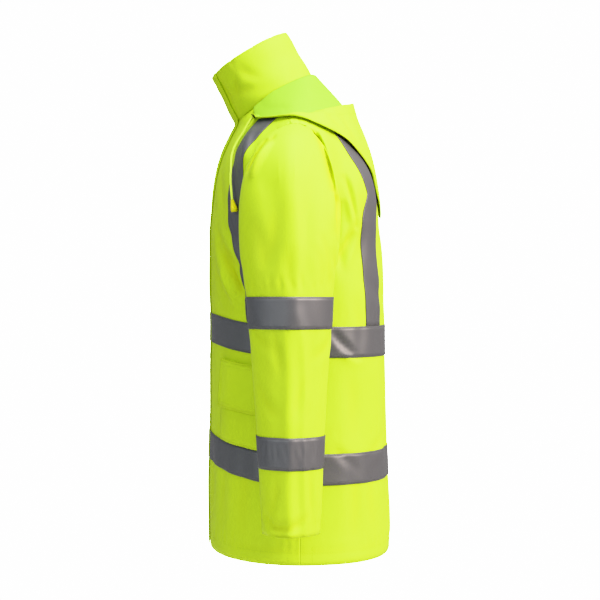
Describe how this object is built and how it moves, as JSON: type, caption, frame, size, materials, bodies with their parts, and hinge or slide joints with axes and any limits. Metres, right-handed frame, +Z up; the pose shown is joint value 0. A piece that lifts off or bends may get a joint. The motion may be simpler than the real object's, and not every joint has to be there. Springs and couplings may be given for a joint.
{
  "type": "hi-vis work jacket",
  "caption": "Hip-length high-visibility work jacket in its worn, hollow form, with a stand collar, a hood thrown back, long sleeves and reflective tape.",
  "frame": {"origin": "between the wearer's shoulders, 740 mm above the hem, on the plane of symmetry", "axes": "+Z up, the front faces -Y, the wearer's left side is +X"},
  "size_m": [0.6894, 0.3217, 0.9001],
  "materials": {
    "yellow_cloth": "matt coated polyester, fluorescent yellow",
    "reflective_tape": "satin silver-grey retro-reflective tape",
    "cord": "matt braided cord",
    "cord_end": "satin moulded plastic",
    "dark_metal": "satin dark paint"
  },
  "bodies": {
    "root": {"back": "yellow_cloth", "brace_back_left": "reflective_tape", "brace_back_right": "reflective_tape", "brace_front_left": "reflective_tape", "brace_front_right": "reflective_tape", "collar": "yellow_cloth", "cord_end_left": "cord_end", "cord_end_right": "cord_end", "drawcord_left": "cord", "drawcord_right": "cord", "eyelet_left": "dark_metal", "eyelet_right": "dark_metal", "front_left": "yellow_cloth", "front_right": "yellow_cloth", "hood": "yellow_cloth", "pocket_flap_left": "yellow_cloth", "pocket_flap_right": "yellow_cloth", "pocket_left": "yellow_cloth", "pocket_right": "yellow_cloth", "press_stud_1": "dark_metal", "press_stud_2": "dark_metal", "press_stud_3": "dark_metal", "press_stud_4": "dark_metal", "press_stud_5": "dark_metal", "press_stud_6": "dark_metal", "sleeve_left": "yellow_cloth", "sleeve_right": "yellow_cloth", "storm_flap": "yellow_cloth", "tape_hem_back": "reflective_tape", "tape_hem_flap": "reflective_tape", "tape_hem_front_left": "reflective_tape", "tape_hem_front_right": "reflective_tape", "tape_sleeve_lower_left": "reflective_tape", "tape_sleeve_lower_right": "reflective_tape", "tape_sleeve_upper_left": "reflective_tape", "tape_sleeve_upper_right": "reflective_tape", "tape_waist_back": "reflective_tape", "tape_waist_flap": "reflective_tape", "tape_waist_front_left": "reflective_tape", "tape_waist_front_right": "reflective_tape"}
  },
  "joints": []
}
